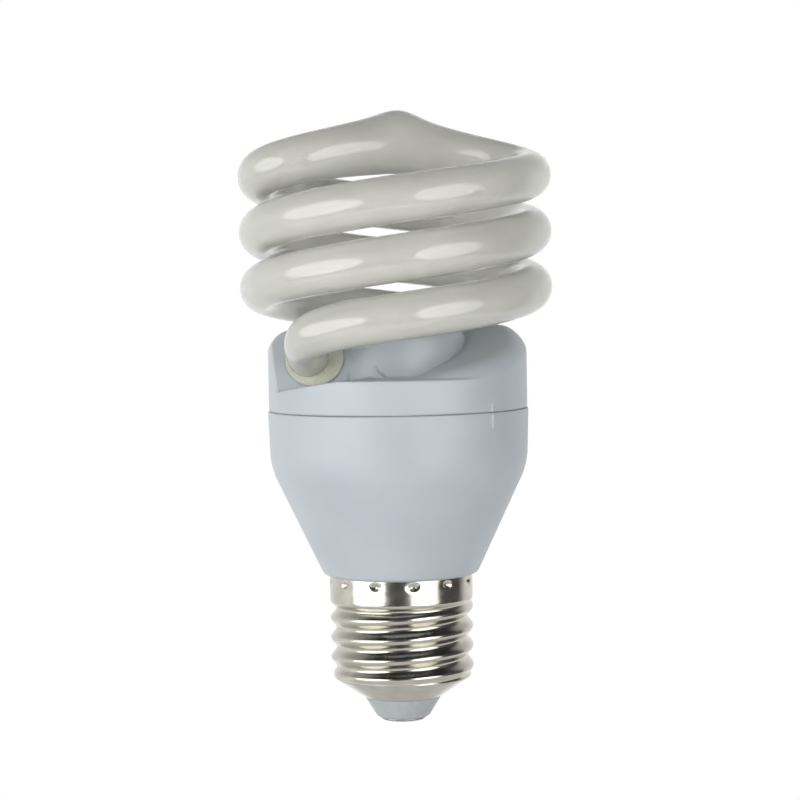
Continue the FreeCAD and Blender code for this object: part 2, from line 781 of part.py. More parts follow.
def tube_seal(name, turn):
    # a disc of cement, with the tube's neck through it a little off its middle
    disc = turned(name + "_disc", [
        ("0", "0"), ("seal_radius", "0"), ("seal_radius", "seal_length"), ("0", "seal_length"),
    ], [("seal_radius", "seal_length", "seal_round")])
    bore = bind(doc.addObject("Part::Cylinder", name + "_bore"), Radius="neck_radius + seal_clearance",
                Height="seal_length")
    low = FreeCAD.Placement(FreeCAD.Vector(0, 0, number("seal_proud - seal_length")), FreeCAD.Rotation())
    disc.Placement = about_axis(turn).multiply(front_entry).multiply(low)
    bore.Placement = about_axis(turn).multiply(front_neck).multiply(low)
    return cut(name, disc, bore)


# Ballast: the board and what hangs from its underside

def circuit_board():
    radius = "mouth_radius - housing_wall - board_clearance"
    return rod("circuit_board", radius, "board_thickness", z=ledge_level)


def filter_capacitor():
    groove = "can_length - can_groove_height"
    can = turned("filter_capacitor", [
        ("0", "0"), ("can_radius", "0"), ("can_radius", groove),
        ("can_radius - can_groove", f"{groove} + can_groove"), ("can_radius", f"{groove} + can_groove * 2"),
        ("can_radius", "can_length"), ("0", "can_length"),
    ], [("can_radius", "0", "can_round")])
    return place(can, "can_offset", "0", f"{ledge_level} - can_length")


def choke_core(name, low, slot_low):
    block = solid_box(name + "_block", "core_depth", "core_width", "core_height", "choke_offset", "0", low)
    slots = []
    for side in (-1, 1):
        middle = f"{side} * (core_leg + core_slot) / 2"
        slots.append(solid_box(f"{name}_slot_{side}", "core_depth * 2", "core_slot", "core_slot_depth",
                               "choke_offset", middle, slot_low))
    return cut(name, block, fuse(name + "_slots", slots))


choke_level = f"{ledge_level} - core_height * 2"
choke_middle = f"{choke_level} + core_height"
bobbin_level = f"{choke_level} + core_height - core_slot_depth"
bobbin_height = "(core_slot_depth * 2 - bobbin_clearance)"


def choke_sleeve(name, margin, low, height):
    # a block round the choke's middle leg, with the same margin on all four sides
    return solid_box(name, f"core_depth + 2 * ({margin})", f"core_leg + 2 * ({margin})", height,
                     "choke_offset", "0", low)


def choke_bobbin():
    tube = "bobbin_clearance + bobbin_wall"
    flange = f"{tube} + winding_thickness + bobbin_wall / 2"
    head = f"{bobbin_level} + {bobbin_height} - bobbin_wall"
    solids = [
        choke_sleeve("bobbin_tube", tube, bobbin_level, bobbin_height),
        choke_sleeve("bobbin_foot", flange, bobbin_level, "bobbin_wall"),
        choke_sleeve("bobbin_head", flange, head, "bobbin_wall"),
    ]
    bore = choke_sleeve("bobbin_bore", "bobbin_clearance", bobbin_level, bobbin_height)
    return cut("choke_bobbin", fuse("bobbin_solid", solids), bore)


def choke_winding():
    tube = "bobbin_clearance + bobbin_wall"
    low, height = f"{bobbin_level} + bobbin_wall", f"{bobbin_height} - bobbin_wall * 2"
    wound = choke_sleeve("winding_outside", f"{tube} + winding_thickness", low, height)
    return cut("choke_winding", wound, choke_sleeve("winding_inside", tube, low, height))


def drive_ring():
    low = f"{ledge_level} - ring_wire - ring_height"
    outside = rod("ring_outside", "ring_radius", "ring_height", "ring_x", "ring_y", low)
    bore = rod("ring_inside", "ring_bore", "ring_height", "ring_x", "ring_y", low)
    return cut("drive_ring", outside, bore)


def drive_windings(ring):
    low = f"{ledge_level} - ring_wire * 2 - ring_height"
    walls = {"outside": "ring_radius + ring_wire", "inside": "ring_bore - ring_wire"}
    sectors = []
    for turn in (0, 120, 240):
        sleeve = []
        for side, radius in walls.items():
            item = bind(doc.addObject("Part::Cylinder", f"sector_{side}_{turn}"), Radius=radius,
                        Height="ring_height + ring_wire * 2", Angle="ring_winding_angle")
            item.Placement.Rotation = FreeCAD.Rotation(FreeCAD.Vector(0, 0, 1), turn)
            sleeve.append(place(item, "ring_x", "ring_y", low))
        sectors.append(cut(f"sector_sleeve_{turn}", *sleeve))
    return cut("drive_windings", group("sector_sleeves", sectors), ring)


def transistor(name, side):
    y = f"{side} * transistor_pitch / 2"
    low = f"{ledge_level} - leg_length - transistor_height"
    body = solid_box(name + "_body", "transistor_thickness", "transistor_width", "transistor_height",
                     "transistor_x", y, low)
    hole = bind(doc.addObject("Part::Cylinder", name + "_hole"), Radius="transistor_hole",
                Height="transistor_thickness * 2")
    hole.Placement.Rotation = FreeCAD.Rotation(FreeCAD.Vector(0, 1, 0), 90)
    place(hole, "transistor_x - transistor_thickness", y, f"{low} + transistor_width / 2")
    legs = [solid_box(f"{name}_leg_{step}", "leg_thickness", "leg_width", "leg_length", "transistor_x",
                      f"{y} + {step} * leg_pitch", f"{ledge_level} - leg_length") for step in (-1, 0, 1)]
    return fuse(name, [cut(name + "_drilled", body, hole)] + legs)


def film_capacitor(name, x, y):
    block = solid_box(name + "_block", "film_width", "film_depth", "film_height", x, y,
                      f"{ledge_level} - film_height")
    doc.recompute()
    top = block.Shape.BoundBox.ZMax
    rounded = [index for index, edge in enumerate(block.Shape.Edges, start=1)
               if edge.BoundBox.ZMin < top - touch]
    dipped = doc.addObject("Part::Fillet", name)
    dipped.Base = block
    dipped.Edges = [(index, number("film_round"), number("film_round")) for index in rounded]
    return dipped


drum_level = f"{ledge_level} - drum_height"


def line_coil_core():
    core = turned("line_coil_core", [
        ("0", "0"), ("drum_radius", "0"), ("drum_radius", "drum_flange"), ("drum_waist", "drum_flange"),
        ("drum_waist", "drum_height - drum_flange"), ("drum_radius", "drum_height - drum_flange"),
        ("drum_radius", "drum_height"), ("0", "drum_height"),
    ])
    return place(core, "drum_x", "drum_y", drum_level)


def line_coil_winding():
    low, height = f"{drum_level} + drum_flange", "drum_height - drum_flange * 2"
    wound = rod("coil_outside", "drum_radius - drum_wire_gap", height, "drum_x", "drum_y", low)
    return cut("line_coil_winding", wound, rod("coil_inside", "drum_waist", height, "drum_x", "drum_y", low))


def axial_part(name, radius, length, turn):
    # a small cylinder against the board, with both leads bent up to it
    frame = about_axis(number(turn), number(f"{ledge_level} - {radius}"))
    middle, half = number("axial_circle"), number(f"{length} / 2")
    body = bind(doc.addObject("Part::Cylinder", name + "_body"), Radius=radius, Height=length)
    lying = FreeCAD.Rotation(FreeCAD.Vector(1, 0, 0), -90)
    body.Placement = frame.multiply(FreeCAD.Placement(FreeCAD.Vector(middle, -half, 0), lying))
    solids = [body]
    for side in (-1, 1):
        reach = side * (half + number("axial_lead_reach"))
        points = [(middle, 0, 0), (middle, reach, 0), (middle, reach, number(radius))]
        points = [frame.multVec(FreeCAD.Vector(*point)) for point in points]
        solids.append(bent_wire(f"{name}_lead_{side}", points, number("axial_lead_radius")))
    return fuse(name, solids)


def rectifier_diodes():
    turns = ["-diode_pair_angle", "diode_pair_angle",
             "diode_angle - diode_angle_spread", "diode_angle + diode_angle_spread"]
    return group("rectifier_diodes", [axial_part(f"diode_{index}", "diode_radius", "diode_length", turn)
                                      for index, turn in enumerate(turns)])


def resistors():
    return group("resistors", [axial_part(f"resistor_{index}", "resistor_radius", "resistor_length", turn)
                               for index, turn in enumerate(["resistor_angle", "-resistor_angle"])])


# Wires

def tube_wire_line(turn, side):
    # from the tube's end face along the tube, then down onto a post
    frame = about_axis(turn).multiply(front_neck)
    inward = frame.Rotation.multVec(FreeCAD.Vector(0, 0, -1))
    aside = inward.cross(FreeCAD.Vector(0, 0, 1)).normalize()
    start = frame.Base + inward * number("entry_inside") + aside * (side * number("tube_wire_spread"))
    corner = start + inward * number("tube_wire_reach")
    return [start, corner, FreeCAD.Vector(corner.x, corner.y, number(f"{board_top} + post_height"))]


def tube_lead(name, turn, side):
    return bent_wire(name, tube_wire_line(turn, side), number("tube_wire_radius"))


def wrap_posts():
    posts = []
    half = number("post_width / 2")
    for turn in (0, 180):
        for side in (-1, 1):
            post = bind(doc.addObject("Part::Box", f"post_{turn}_{side + 1}"), Length="post_width",
                        Width="post_width", Height="post_height")
            under = tube_wire_line(turn, side)[-1]
            post.Placement.Base = FreeCAD.Vector(under.x - half, under.y - half, number(board_top))
            posts.append(post)
    return group("wrap_posts", posts)


def fuse_resistor():
    return rod("fuse_resistor", "fuse_radius", "fuse_length", "fuse_x", "0", "fuse_level")


def fuse_lead():
    low = "fuse_level + fuse_length"
    return rod("fuse_lead", "wire_radius", f"{ledge_level} - ({low})", "fuse_x", "0", low)


def live_lead():
    across, high = number("fuse_x"), number("fuse_level")
    low = number(f"{cone_level} + insulator_plug_depth + rivet_head")
    step = (high - low) / 3
    points = [FreeCAD.Vector(across, 0, high), FreeCAD.Vector(across, 0, high - step),
              FreeCAD.Vector(0, 0, low + step), FreeCAD.Vector(0, 0, low)]
    return bent_wire("live_lead", points, number("wire_radius"))


def neutral_lead():
    # down beside the capacitor and out to the shell, where a root of the thread comes nearest
    x, y = number("neutral_x"), number("neutral_y")
    turn = math.degrees(math.atan2(y, x))
    root_turns = 2.5
    rise = number("thread_pitch") * (turn / 360 + root_turns)
    level = number(f"{thread_level} + thread_crest_height") + rise
    reach = number("thread_radius - thread_depth - shell_wall - neutral_gap") / math.hypot(x, y)
    points = [FreeCAD.Vector(x, y, number(ledge_level)), FreeCAD.Vector(x, y, level),
              FreeCAD.Vector(x * reach, y * reach, level)]
    return bent_wire("neutral_lead", points, number("wire_radius"))


ring = drive_ring()
made = {
    "centre_contact": centre_contact(),
    "cap_insulator": cap_insulator(),
    "screw_shell": screw_shell(),
    "ballast_housing": ballast_housing(),
    "tube_holder": tube_holder(),
    "spiral_tube": spiral_tube(),
    "front_tube_seal": tube_seal("front_seal", 0),
    "rear_tube_seal": tube_seal("rear_seal", 180),
    "circuit_board": circuit_board(),
    "filter_capacitor": filter_capacitor(),
    "choke_core_lower": choke_core("core_lower", choke_level, bobbin_level),
    "choke_core_upper": choke_core("core_upper", choke_middle, choke_middle),
    "choke_bobbin": choke_bobbin(),
    "choke_winding": choke_winding(),
    "drive_ring": ring,
    "drive_windings": drive_windings(ring),
    "transistor_a": transistor("first_transistor", -1),
    "transistor_b": transistor("second_transistor", 1),
    "resonant_capacitor": film_capacitor("resonant_film", "resonant_x", "resonant_y"),
    "blocking_capacitor": film_capacitor("blocking_film", "blocking_x", "blocking_y"),
    "line_coil_core": line_coil_core(),
    "line_coil_winding": line_coil_winding(),
    "rectifier_diodes": rectifier_diodes(),
    "resistors": resistors(),
    "trigger_diac": axial_part("diac", "diac_radius", "diac_length", "diac_angle"),
    "wrap_posts": wrap_posts(),
    "front_tube_lead_a": tube_lead("front_lead_near", 0, -1),
    "front_tube_lead_b": tube_lead("front_lead_far", 0, 1),
    "rear_tube_lead_a": tube_lead("rear_lead_near", 180, -1),
    "rear_tube_lead_b": tube_lead("rear_lead_far", 180, 1),
    "fuse_resistor": fuse_resistor(),
    "fuse_lead": fuse_lead(),
    "live_lead": live_lead(),
    "neutral_lead": neutral_lead(),
}
doc.recompute()

faults = [item.Name for item in doc.Objects if "Invalid" in item.State or "Error" in item.State]
faults += [label for label, item in made.items() if item.Shape.isNull() or not item.Shape.isValid()]
if faults:
    raise RuntimeError("these did not build: " + ", ".join(faults))

os.makedirs("parts", exist_ok=True)
for label, item in made.items():
    item.Label = label
    item.Shape.exportStep(f"parts/{label}.step")
    print(label, len(item.Shape.Solids), round(item.Shape.Volume, 2))
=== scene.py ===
import bmesh
import bpy
import json
import math
from mathutils import Matrix, Vector


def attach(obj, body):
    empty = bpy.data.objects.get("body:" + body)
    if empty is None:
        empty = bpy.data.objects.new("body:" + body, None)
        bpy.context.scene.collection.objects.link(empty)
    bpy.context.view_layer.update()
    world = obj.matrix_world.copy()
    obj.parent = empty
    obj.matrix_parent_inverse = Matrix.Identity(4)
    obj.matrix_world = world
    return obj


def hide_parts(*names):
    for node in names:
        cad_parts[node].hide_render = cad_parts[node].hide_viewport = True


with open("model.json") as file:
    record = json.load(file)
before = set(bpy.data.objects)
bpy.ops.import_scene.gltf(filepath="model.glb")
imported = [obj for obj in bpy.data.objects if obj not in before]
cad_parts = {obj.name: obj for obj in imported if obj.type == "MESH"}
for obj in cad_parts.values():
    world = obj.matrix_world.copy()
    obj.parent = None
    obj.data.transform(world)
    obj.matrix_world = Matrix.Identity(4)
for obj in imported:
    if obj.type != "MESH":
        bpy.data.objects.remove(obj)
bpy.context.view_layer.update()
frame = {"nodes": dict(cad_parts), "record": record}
mm = 0.001
weld = 0.0005 * mm  # points nearer than this are one point
crispCorner = math.radians(60)  # a corner as steep as this isn't shaded smooth
up = Vector((0, 0, 1))
print("frame loaded,", len(frame["nodes"]), "CAD nodes")


def linear(hexColour):  # sRGB hex to the linear colour that nodes use
    parts = [int(hexColour[i:i + 2], 16) / 255 for i in (1, 3, 5)]
    return [c / 12.92 if c <= 0.04045 else ((c + 0.055) / 1.055) ** 2.4 for c in parts] + [1]


def fillInputs(tree, node, inputs):  # an input that is a socket is linked, any other is set
    for key, value in inputs.items():
        if isinstance(value, bpy.types.NodeSocket):
            tree.links.new(value, node.inputs[key])
        else:
            node.inputs[key].default_value = value


def addNode(tree, kind, settings=None, inputs=None):
    node = tree.nodes.new(kind)
    for key, value in (settings or {}).items():
        setattr(node, key, value)
    fillInputs(tree, node, inputs or {})
    return node


def calculate(tree, operation, first, second):
    return addNode(tree, "ShaderNodeMath", {"operation": operation}, {0: first, 1: second}).outputs[0]


def noise(tree, place, size, detail):  # features about this many millimetres wide
    node = addNode(tree, "ShaderNodeTexNoise", None,
                   {"Vector": place, "Scale": 1 / (size * mm), "Detail": detail})
    return node.outputs["Fac"]


def relief(tree, height, depth, under=None):  # bumps this many millimetres deep, over any others
    inputs = {"Height": height, "Distance": depth * mm, "Strength": 1.0}
    if under:
        inputs["Normal"] = under
    return addNode(tree, "ShaderNodeBump", None, inputs).outputs["Normal"]


# a Mix node set to colour has its two colours at inputs 6 and 7, and its result at output 2
def mixColours(tree, factor, first, second):
    mix = addNode(tree, "ShaderNodeMix", {"data_type": "RGBA"},
                  {0: factor, 6: linear(first), 7: linear(second)})
    return mix.outputs[2]


# the range that is read, unless another is given, is where most of a noise's values lie
def spread(tree, value, low, high, fromLow=0.35, fromHigh=0.65):
    ranged = addNode(tree, "ShaderNodeMapRange", None,
                     {"Value": value, "From Min": fromLow, "From Max": fromHigh,
                      "To Min": low, "To Max": high})
    return ranged.outputs["Result"]


def startMaterial(name):
    material = bpy.data.materials.new(name)
    material.use_nodes = True
    tree = material.node_tree
    shader = tree.nodes["Principled BSDF"]
    place = addNode(tree, "ShaderNodeTexCoord").outputs["Object"]
    return material, tree, shader, place


# moulded PBT: cool white, satin from the tool's fine spark finish, with faint clouding in thick places
pbtLook = {"colours": ("#b4bbc2", "#bac1c7"), "cloud": (14, 2), "grit": (0.45, 3), "relief": 0.006,
           "roughness": (0.36, 0.46), "ior": 1.55}


def mouldedPbt():
    s = pbtLook
    material, tree, shader, place = startMaterial("moulded_pbt")
    cloud = spread(tree, noise(tree, place, *s["cloud"]), 0, 1)
    grit = noise(tree, place, *s["grit"])
    fillInputs(tree, shader, {
        "Base Color": mixColours(tree, cloud, *s["colours"]), "Normal": relief(tree, grit, s["relief"]),
        "Roughness": spread(tree, grit, *s["roughness"]), "IOR": s["ior"]})
    return material


# phosphor coated glass: a matt warm white powder seen through a smooth clear glass wall
glassLook = {"colours": ("#dbdbd4", "#e3e3dc"), "cloud": (9, 4),
             "powder": {"Roughness": 0.6, "Specular IOR Level": 0.2, "Transmission Weight": 0.4,
                        "Subsurface Weight": 0.7, "Subsurface Radius": (1.0, 1.0, 0.95),
                        "Subsurface Scale": 5 * mm},
             "wall": {"Coat Weight": 1.0, "Coat Roughness": 0.03, "Coat IOR": 1.6}}


def coatedGlass():
    s = glassLook
    material, tree, shader, place = startMaterial("phosphor_coated_glass")
    cloud = spread(tree, noise(tree, place, *s["cloud"]), 0, 1)
    fillInputs(tree, shader, {"Base Color": mixColours(tree, cloud, *s["colours"]),
                              **s["powder"], **s["wall"]})
    return material


# nickel plated brass: bright pressed sheet with faint drawing lines round the cap and small rolling marks
nickelLook = {"colours": ("#b9b6aa", "#c4c2b8"), "lines": (0.5, 4), "stretch": (0.12, 0.12, 1.0),
              "lineRelief": 0.01, "marks": (2.5, 3), "markRelief": 0.03, "roughness": (0.15, 0.22)}


def nickelPlate():
    s = nickelLook
    material, tree, shader, place = startMaterial("nickel_plated_brass")
    stretched = addNode(tree, "ShaderNodeMapping", None, {"Vector": place, "Scale": s["stretch"]})
    lines = relief(tree, noise(tree, stretched.outputs["Vector"], *s["lines"]), s["lineRelief"])
    marks = noise(tree, place, *s["marks"])
    fillInputs(tree, shader, {
        "Base Color": mixColours(tree, spread(tree, marks, 0, 1), *s["colours"]),
        "Normal": relief(tree, marks, s["markRelief"], lines),
        "Roughness": spread(tree, marks, *s["roughness"]), "Metallic": 1.0})
    return material


# plain finishes for small and inner pieces: two near colours in grains, with a little relief
def grainyFinish(name, first, second, roughness, grain, depth, metallic=0.0):
    material, tree, shader, place = startMaterial(name)
    grains = noise(tree, place, grain, detail=3)
    fillInputs(tree, shader, {
        "Base Color": mixColours(tree, spread(tree, grains, 0, 1), first, second),
        "Normal": relief(tree, grains, depth), "Roughness": roughness, "Metallic": metallic})
    return material


finishes = {
    "case_plastic": mouldedPbt(),
    "coated_glass": coatedGlass(),
    "nickel_plate": nickelPlate(),
    # urea moulding: grey white with a dull skin
    "insulator_plastic": grainyFinish("urea_moulding", "#aab0b2", "#b2b8b9", 0.42, 1.2, 0.01),
    # tinned brass eyelet: dull grey metal with solder ripples
    "contact_metal": grainyFinish("tinned_eyelet", "#8d8b86", "#b3b0aa", 0.38, 0.9, 0.05, 1.0),
    # lamp cement: chalky cream with grit in it
    "seal_cement": grainyFinish("lamp_cement", "#c0c0ae", "#cccdbd", 0.75, 0.5, 0.03),
    # paper laminate: brown board with a fibrous skin
    "board_laminate": grainyFinish("paper_laminate", "#8f6a35", "#a47a40", 0.5, 0.8, 0.01),
    # shrunk PVC sleeve: dark blue and shiny
    "capacitor_sleeve": grainyFinish("shrunk_pvc", "#1b2748", "#223055", 0.28, 3.0, 0.01),
    # ferrite: sintered grey ceramic
    "ferrite": grainyFinish("sintered_ferrite", "#35353a", "#424248", 0.6, 0.6, 0.01),
    # nylon bobbin: dark and slightly waxy
    "bobbin_plastic": grainyFinish("nylon_bobbin", "#45423f", "#4d4a46", 0.45, 1.5, 0.005),
    # enamelled copper wire: red brown lacquer over metal
    "enamelled_copper": grainyFinish("enamelled_copper", "#a4562c", "#bd6a38", 0.3, 0.35, 0.03, 1.0),
    # moulded epoxy: black with a matt etched skin
    "black_epoxy": grainyFinish("moulded_epoxy", "#242426", "#2c2c2f", 0.5, 0.4, 0.008),
    # dipped lacquer: red brown, thick and glossy
    "film_dip": grainyFinish("dipped_lacquer", "#93392a", "#a24433", 0.22, 2.5, 0.02),
    # resistor lacquer: tan and smooth
    "resistor_lacquer": grainyFinish("resistor_lacquer", "#b99c70", "#c6ab82", 0.3, 1.0, 0.01),
    # lacquered glass: blue and shiny
    "diac_glass": grainyFinish("lacquered_glass", "#5f83a8", "#6f93b6", 0.12, 1.0, 0.002),
    # tinned copper wire: bright grey metal
    "tinned_wire": grainyFinish("tinned_copper", "#b9b8b3", "#cac9c5", 0.25, 0.5, 0.005, 1.0),
}
for entry in frame["record"]["subparts"]:
    frame["nodes"][entry["node"]].material_slots[0].material = finishes[entry["material_slot"]]
print("materials made,", len(finishes))


def easeInOut(share):
    share = min(1, max(0, share))
    return share * share * (3 - 2 * share)


def rawObject(name, bm):
    mesh = bpy.data.meshes.new(name)
    bm.to_mesh(mesh)
    bm.free()
    item = bpy.data.objects.new(name, mesh)
    bpy.context.scene.collection.objects.link(item)
    return item


def finishPiece(name, bm, slot, replaced):
    bmesh.ops.remove_doubles(bm, verts=bm.verts, dist=weld)
    bmesh.ops.recalc_face_normals(bm, faces=bm.faces)
    for face in bm.faces:
        face.smooth = True
    for edge in bm.edges:
        edge.smooth = edge.calc_face_angle(0) < crispCorner
    piece = rawObject(name, bm)
    piece.data.materials.append(finishes[slot])
    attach(piece, "root")
    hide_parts(*replaced)
    print("made", name, len(piece.data.polygons), "faces")


def bakeModifiers(item):
    bpy.context.view_layer.update()
    graph = bpy.context.evaluated_depsgraph_get()
    mesh = bpy.data.meshes.new_from_object(item.evaluated_get(graph))
    item.modifiers.clear()
    item.data = mesh


def combine(base, tools, operation):
    for tool in tools:
        modifier = base.modifiers.new("combine", "BOOLEAN")
        modifier.operation = operation
        modifier.solver = "EXACT"
        modifier.object = tool
    bakeModifiers(base)
    for tool in tools:
        bpy.data.objects.remove(tool)


def takeMesh(item):  # many-sided faces are split here, so that the triangles meet edge to edge
    bm = bmesh.new()
    bm.from_mesh(item.data)
    bpy.data.objects.remove(item)
    manySided = [face for face in bm.faces if len(face.verts) > 4]
    bmesh.ops.triangulate(bm, faces=manySided, quad_method="BEAUTY", ngon_method="BEAUTY")
    return bm


def turnAbout(bm, degrees):
    turn = Matrix.Rotation(math.radians(degrees), 3, "Z")
    bmesh.ops.rotate(bm, verts=bm.verts, cent=(0, 0, 0), matrix=turn)


def closedLoop(bm, points):
    verts = [bm.verts.new(point) for point in points]
    return [bm.edges.new((verts[i], verts[(i + 1) % len(verts)])) for i in range(len(verts))]


def roundCorners(bm, geom, affect, reach, segments):  # reach is the length cut off each side of the corner
    bmesh.ops.bevel(bm, geom=geom, offset=reach * mm, offset_type="OFFSET", segments=segments,
                    profile=0.5, affect=affect, material=-1)


# outline of (radius, height) in mm turned about the lamp's axis, with its (corner, reach, segments) rounded
def spinOutline(outline, steps, rounds=()):
    bm = bmesh.new()
    verts = [bm.verts.new((radius * mm, 0, height * mm)) for radius, height in outline]
    for first, second in zip(verts, verts[1:]):
        bm.edges.new((first, second))
    for corner, reach, segments in rounds:
        roundCorners(bm, [verts[corner]], "VERTICES", reach, segments)
    bmesh.ops.spin(bm, geom=bm.verts[:] + bm.edges[:], cent=(0, 0, 0), axis=up, angle=2 * math.pi,
                   steps=steps, use_merge=True)
    bmesh.ops.remove_doubles(bm, verts=bm.verts, dist=weld)
    bmesh.ops.recalc_face_normals(bm, faces=bm.faces)
    return bm


# alignment marks: one on each side of the case's seam
ribSizes = {"angle": -46, "width": 0.6, "height": (2.7, 1.8), "gap": 0.05, "proud": 0.35, "sunk": 0.6,
            "round": 0.28, "segments": 3}


def ribSolid(radius, low, height):
    s = ribSizes
    deep = s["proud"] + s["sunk"]
    rib = bmesh.new()
    bmesh.ops.create_cube(rib, size=1)
    bmesh.ops.scale(rib, vec=(deep * mm, s["width"] * mm, height * mm), verts=rib.verts)
    roundCorners(rib, rib.edges[:], "EDGES", s["round"], s["segments"])
    middle = ((radius + s["proud"] - deep / 2) * mm, 0, (low + height / 2) * mm)
    bmesh.ops.translate(rib, vec=middle, verts=rib.verts)
    turnAbout(rib, s["angle"])
    return rib


# ballast housing
housingSizes = {"rim": (14.1, 27.0), "shoulder": (23.55, 47.0), "mouth": (23.9, 57.3), "neck": 12.2,
                "neckStep": 0.4, "wall": 1.4, "lip": 3, "steps": 180,
                "rounds": [(3, 0.85, 8), (4, 2.35, 16), (5, 0.3, 5)]}


def makeHousing():
    s = housingSizes
    rimHeight, (mouthRadius, mouthHeight) = s["rim"][1], s["mouth"]
    neckHeight, lipHeight = rimHeight + s["neckStep"], mouthHeight - s["lip"]
    inside = mouthRadius - s["wall"]
    outline = [(0, neckHeight), (s["neck"], neckHeight), (s["neck"], rimHeight), s["rim"], s["shoulder"],
               s["mouth"], (inside, mouthHeight), (inside, lipHeight), (0, lipHeight)]
    base = rawObject("body_base", spinOutline(outline, s["steps"], s["rounds"]))
    height = ribSizes["height"][0]
    mark = ribSolid(mouthRadius, mouthHeight - ribSizes["gap"] - height, height)
    combine(base, [rawObject("body_mark", mark)], "UNION")
    finishPiece("case_body", takeMesh(base), "case_plastic", ["ballast_housing"])


# screw shell: cone, thread and skirt
shellSizes = {"cone": 4.3, "thread": 8.0, "skirt": 22.7, "rim": 27.0, "crest": 13.15, "depth": 1.05,
              "pitch": 3.63, "phase": 9.96, "coneRadius": 7.1, "sheet": 0.6, "row": 0.14, "steps": 288,
              "slack": 0.01}
dentSizes = {"count": 12, "turn": 9.2, "level": 25.9, "depth": 0.5, "width": 0.8, "tall": 0.55}


def shellRadius(height, angle):
    s = shellSizes
    mean = s["crest"] - s["depth"] / 2
    if height < s["thread"]:
        return s["coneRadius"] + (mean - s["coneRadius"]) * (height - s["cone"]) / (s["thread"] - s["cone"])
    fade = s["pitch"] / 2
    share = easeInOut(min((s["skirt"] - height) / fade, (height - s["thread"]) / fade))
    top = easeInOut(1 - (s["skirt"] - height) / fade)
    wave = math.cos(2 * math.pi * (height - s["phase"]) / s["pitch"] - angle)
    return mean + (s["crest"] - mean) * top + share * s["depth"] / 2 * wave


def dentPush(height, angle):  # how far the staking dents press the skirt in
    s = dentSizes
    turn = 360 / s["count"]
    aside = (math.degrees(angle) - s["turn"] + turn / 2) % turn - turn / 2
    across, above = math.radians(aside) * shellSizes["crest"] / s["width"], (height - s["level"]) / s["tall"]
    return s["depth"] * math.exp(-(across * across + above * above))


def makeShell():
    s = shellSizes
    rows = math.ceil((s["rim"] - s["cone"]) / s["row"])
    heights = [s["cone"] + (s["rim"] - s["cone"]) * row / rows for row in range(rows + 1)]
    skirtInside, threadInside = s["crest"] - s["sheet"], s["crest"] - s["depth"] - s["sheet"]
    foot = (s["coneRadius"] - s["sheet"], s["cone"])
    outline = [foot] + [(s["crest"], height) for height in heights]
    outline += [(skirtInside, s["rim"]), (skirtInside, s["skirt"]),
                (threadInside, s["skirt"] - s["pitch"] / 2), (threadInside, s["thread"] + s["sheet"]), foot]
    bm = spinOutline(outline, s["steps"])
    for vert in bm.verts:  # the outer wall alone takes the cone, the thread and the dents
        reach, height = math.hypot(vert.co.x, vert.co.y) / mm, vert.co.z / mm
        if abs(reach - s["crest"]) > s["slack"]:
            continue
        angle = math.atan2(vert.co.y, vert.co.x)
        factor = (shellRadius(height, angle) - dentPush(height, angle)) / reach
        vert.co.x *= factor
        vert.co.y *= factor
    finishPiece("cap_shell", bm, "nickel_plate", ["screw_shell"])


# insulator: the cone under the shell, which laps into it
insulatorSizes = {"tip": (4.75, 0.45), "top": (7.1, 4.3), "lap": (0.6, 0.25), "steps": 96,
                  "rounds": [(1, 0.55, 6)]}


def makeInsulator():
    s = insulatorSizes
    tip, top = s["tip"], s["top"]
    lapRadius, lapHeight = top[0] - s["lap"][0], top[1] + s["lap"][1]
    outline = [(0, tip[1]), tip, top, (lapRadius, lapHeight), (0, lapHeight)]
    finishPiece("cap_cone", spinOutline(outline, s["steps"], s["rounds"]), "insulator_plastic",
                ["cap_insulator"])


# contact: a flat disc that laps into the insulator
contactSizes = {"radius": 4.1, "height": 0.45, "lap": 0.1, "steps": 64, "rounds": [(1, 0.3, 5)]}


def makeContact():
    s = contactSizes
    radius, top = s["radius"], s["height"] + s["lap"]
    outline = [(0, 0), (radius, 0), (radius, top), (0, top)]
    finishPiece("tip_contact", spinOutline(outline, s["steps"], s["rounds"]), "contact_metal",
                ["centre_contact"])


# tube mouths: where each strand enters the cover, with its neck off the mouth's middle
mouthSizes = {"angle": -151.8, "radius": 16.9, "height": 67.1, "heading": 85, "dive": 16.9,
              "neckShift": (-1.05, 0.25)}
neckShift = Vector((*mouthSizes["neckShift"], 0)) * mm


def mouthFrame(turn):  # Z points out of the case along the tube
    s = mouthSizes
    angle, heading, dive = (math.radians(s[key]) for key in ("angle", "heading", "dive"))
    level = math.cos(dive)
    outward = Vector((-level * math.cos(heading), -level * math.sin(heading), math.sin(dive)))
    where = Vector((s["radius"] * math.cos(angle), s["radius"] * math.sin(angle), s["height"])) * mm
    place = Matrix.Translation(where) @ up.rotation_difference(outward).to_matrix().to_4x4()
    return Matrix.Rotation(math.radians(turn), 4, "Z") @ place


# spiral tube: crownBend is for the crown's underside, then for its upper side
tubeSizes = {"radius": 4.2, "neckRadius": 3.7, "coilRadius": 24.4, "lead": 20.3, "base": 79.6,
             "leave": -103, "end": 360, "inside": 1.2, "straight": 1.5, "bendPull": (11, 10.4),
             "armPull": (16, 11), "crownHeading": 42, "crownSlope": 0.12, "crownRise": 5.85,
             "crownSwell": 0.95, "crownPeak": 0.3, "crownWidth": 14, "crownBend": (3, 1.2), "tipPeak": 0.9,
             "tipWidth": 4.5, "coilStep": 1.5, "bendSteps": 36, "armSteps": 60, "roundness": 12}


def cubicPoints(handles, steps):
    points = []
    for step in range(steps + 1):
        t = step / steps
        weights = ((1 - t) ** 3, 3 * t * (1 - t) ** 2, 3 * t * t * (1 - t), t ** 3)
        points.append(sum((handle * weight for handle, weight in zip(handles, weights)), Vector()))
    return points


